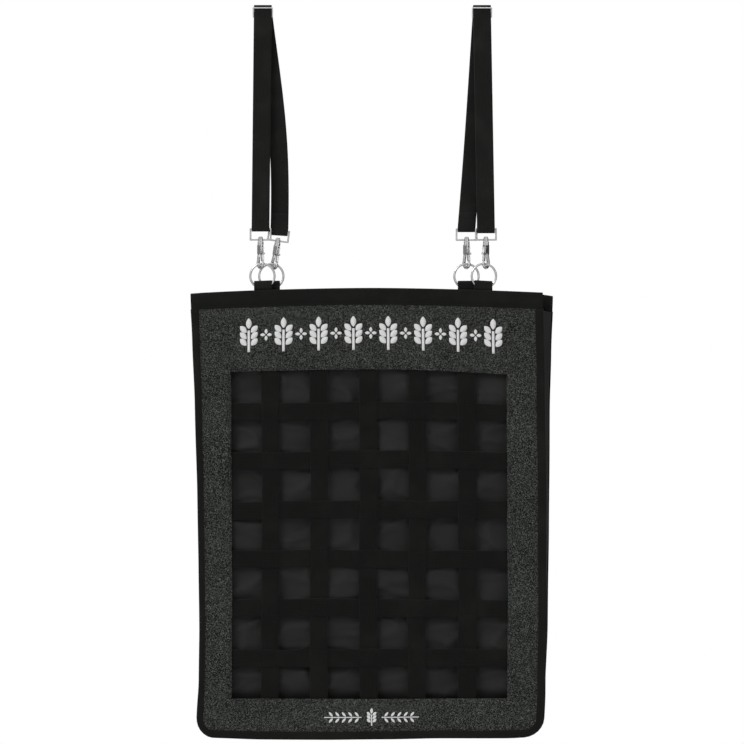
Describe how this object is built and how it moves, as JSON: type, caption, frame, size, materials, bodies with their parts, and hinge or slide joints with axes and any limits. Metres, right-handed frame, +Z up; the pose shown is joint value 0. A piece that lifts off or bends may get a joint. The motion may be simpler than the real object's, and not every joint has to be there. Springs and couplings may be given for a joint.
{
  "type": "hay bag",
  "caption": "Flat rectangular fabric hay bag with a webbing grid window in front, open at the top, hung on two webbing straps with sliders, swivel trigger snaps and rings.",
  "frame": {"origin": "on the axis of the rail that the two straps loop over, midway between the middle of the front and back panels", "axes": "+Z up along the hanging straps, +X to the bag's right as seen from in front, -Y towards the viewer, out of the grid window"},
  "size_m": [0.5096, 0.0554, 1.027],
  "materials": {
    "flecked_fabric": "matte woven polyester, black with fine silver-grey flecks",
    "back_fabric": "matte woven polyester",
    "strap_webbing": "ribbed polyester webbing, satin",
    "grid_webbing": "ribbed polyester webbing, matte",
    "binding_tape": "grosgrain tape, matte",
    "nickel_hardware": "bright nickel plate",
    "spring_steel": "satin"
  },
  "bodies": {
    "hangers": {"strap_left": "strap_webbing", "strap_right": "strap_webbing", "strap_tail_left": "strap_webbing", "strap_tail_right": "strap_webbing"},
    "slider_left": {"slider_left": "nickel_hardware"},
    "slider_right": {"slider_right": "nickel_hardware"},
    "bag": {"front_panel": "flecked_fabric", "back_panel": "back_fabric", "gusset_left": "back_fabric", "gusset_right": "back_fabric", "gusset_bottom": "back_fabric", "front_top_band": "binding_tape", "back_top_band": "binding_tape", "front_binding": "binding_tape", "back_binding": "binding_tape", "grid_upright_1": "grid_webbing", "grid_upright_2": "grid_webbing", "grid_upright_3": "grid_webbing", "grid_upright_4": "grid_webbing", "grid_upright_5": "grid_webbing", "grid_cross_1": "grid_webbing", "grid_cross_2": "grid_webbing", "grid_cross_3": "grid_webbing", "grid_cross_4": "grid_webbing", "grid_cross_5": "grid_webbing", "grid_cross_6": "grid_webbing", "tab_front_left": "strap_webbing", "tab_back_left": "strap_webbing", "tab_back_right": "strap_webbing", "tab_front_right": "strap_webbing"},
    "eye_front_left": {"eye_front_left": "nickel_hardware"},
    "snap_front_left": {"snap_front_left": "nickel_hardware", "rivet_front_left": "nickel_hardware", "spring_front_left": "spring_steel"},
    "gate_front_left": {"gate_front_left": "nickel_hardware"},
    "ring_front_left": {"ring_front_left": "nickel_hardware"},
    "eye_back_left": {"eye_back_left": "nickel_hardware"},
    "snap_back_left": {"snap_back_left": "nickel_hardware", "rivet_back_left": "nickel_hardware", "spring_back_left": "spring_steel"},
    "gate_back_left": {"gate_back_left": "nickel_hardware"},
    "ring_back_left": {"ring_back_left": "nickel_hardware"},
    "eye_back_right": {"eye_back_right": "nickel_hardware"},
    "snap_back_right": {"snap_back_right": "nickel_hardware", "rivet_back_right": "nickel_hardware", "spring_back_right": "spring_steel"},
    "gate_back_right": {"gate_back_right": "nickel_hardware"},
    "ring_back_right": {"ring_back_right": "nickel_hardware"},
    "eye_front_right": {"eye_front_right": "nickel_hardware"},
    "snap_front_right": {"snap_front_right": "nickel_hardware", "rivet_front_right": "nickel_hardware", "spring_front_right": "spring_steel"},
    "gate_front_right": {"gate_front_right": "nickel_hardware"},
    "ring_front_right": {"ring_front_right": "nickel_hardware"}
  },
  "joints": [
    {"name": "bag_swing", "type": "hinge", "parent": "hangers", "child": "bag", "pos_m": [0, 0, -0.3397], "axis": [1, 0, 0], "range_deg": [-11, 11]},
    {"name": "slider_left_slide", "type": "slide", "parent": "hangers", "child": "slider_left", "axis": [-0.0105, -0.0057, -0.9999], "range_m": [0, 0.15], "deforming": ["strap_tail_left"]},
    {"name": "slider_right_slide", "type": "slide", "parent": "hangers", "child": "slider_right", "axis": [0.018, -0.0057, -0.9998], "range_m": [0, 0.15], "deforming": ["strap_tail_right"]},
    {"name": "eye_front_left_tilt", "type": "hinge", "parent": "hangers", "child": "eye_front_left", "pos_m": [-0.1552, -0.0042, -0.308], "axis": [1, 0, 0], "range_deg": [-5.5, 5.5]},
    {"name": "ring_front_left_tilt", "type": "hinge", "parent": "bag", "child": "ring_front_left", "pos_m": [-0.1526, -0.0042, -0.3856], "axis": [1, 0, 0], "range_deg": [-2.75, 2.75]},
    {"name": "snap_front_left_swivel", "type": "hinge", "parent": "eye_front_left", "child": "snap_front_left", "pos_m": [-0.1552, -0.0042, -0.308], "axis": [0, 0, 1], "range_deg": [-68, 8]},
    {"name": "gate_front_left_hinge", "type": "hinge", "parent": "snap_front_left", "child": "gate_front_left", "pos_m": [-0.1537, -0.0068, -0.33485], "axis": [0.866, 0.5, 0], "range_deg": [0, 18], "stiffness_Nm_per_rad": 0.02, "springref_deg": -11.46},
    {"name": "eye_back_left_tilt", "type": "hinge", "parent": "hangers", "child": "eye_back_left", "pos_m": [-0.1292, 0.0042, -0.3095], "axis": [0.9903, 0, -0.1392], "range_deg": [-5.5, 5.5]},
    {"name": "ring_back_left_tilt", "type": "hinge", "parent": "bag", "child": "ring_back_left", "pos_m": [-0.1404, 0.0042, -0.3856], "axis": [1, 0, 0], "range_deg": [-2.75, 2.75]},
    {"name": "snap_back_left_swivel", "type": "hinge", "parent": "eye_back_left", "child": "snap_back_left", "pos_m": [-0.1292, 0.0042, -0.3095], "axis": [0.1392, 0, 0.9903], "range_deg": [-68, 8]},
    {"name": "gate_back_left_hinge", "type": "hinge", "parent": "snap_back_left", "child": "gate_back_left", "pos_m": [-0.13145, 0.0016, -0.3363], "axis": [0.8576, 0.5, -0.1205], "range_deg": [0, 18], "stiffness_Nm_per_rad": 0.02, "springref_deg": -11.46},
    {"name": "eye_back_right_tilt", "type": "hinge", "parent": "hangers", "child": "eye_back_right", "pos_m": [0.1332, 0.0042, -0.308], "axis": [1, 0, 0], "range_deg": [-5.5, 5.5]},
    {"name": "ring_back_right_tilt", "type": "hinge", "parent": "bag", "child": "ring_back_right", "pos_m": [0.133, 0.0042, -0.3856], "axis": [1, 0, 0], "range_deg": [-2.75, 2.75]},
    {"name": "snap_back_right_swivel", "type": "hinge", "parent": "eye_back_right", "child": "snap_back_right", "pos_m": [0.1332, 0.0042, -0.308], "axis": [0, 0, 1], "range_deg": [-68, 8]},
    {"name": "gate_back_right_hinge", "type": "hinge", "parent": "snap_back_right", "child": "gate_back_right", "pos_m": [0.1347, 0.0016, -0.33485], "axis": [0.866, 0.5, 0], "range_deg": [0, 18], "stiffness_Nm_per_rad": 0.02, "springref_deg": -11.46},
    {"name": "eye_front_right_tilt", "type": "hinge", "parent": "hangers", "child": "eye_front_right", "pos_m": [0.16, -0.0042, -0.308], "axis": [1, 0, 0], "range_deg": [-5.5, 5.5]},
    {"name": "ring_front_right_tilt", "type": "hinge", "parent": "bag", "child": "ring_front_right", "pos_m": [0.1572, -0.0042, -0.3856], "axis": [1, 0, 0], "range_deg": [-2.75, 2.75]},
    {"name": "snap_front_right_swivel", "type": "hinge", "parent": "eye_front_right", "child": "snap_front_right", "pos_m": [0.16, -0.0042, -0.308], "axis": [0, 0, 1], "range_deg": [-8, 68]},
    {"name": "gate_front_right_hinge", "type": "hinge", "parent": "snap_front_right", "child": "gate_front_right", "pos_m": [0.1585, -0.0068, -0.33485], "axis": [0.866, -0.5, 0], "range_deg": [0, 18], "stiffness_Nm_per_rad": 0.02, "springref_deg": -11.46}
  ],
  "couplings": [
    {"joint": "eye_front_left_tilt", "follows": "bag_swing", "ratio": 0.5},
    {"joint": "ring_front_left_tilt", "follows": "bag_swing", "ratio": -0.25},
    {"joint": "eye_back_left_tilt", "follows": "bag_swing", "ratio": 0.5},
    {"joint": "ring_back_left_tilt", "follows": "bag_swing", "ratio": -0.25},
    {"joint": "eye_back_right_tilt", "follows": "bag_swing", "ratio": 0.5},
    {"joint": "ring_back_right_tilt", "follows": "bag_swing", "ratio": -0.25},
    {"joint": "eye_front_right_tilt", "follows": "bag_swing", "ratio": 0.5},
    {"joint": "ring_front_right_tilt", "follows": "bag_swing", "ratio": -0.25}
  ]
}
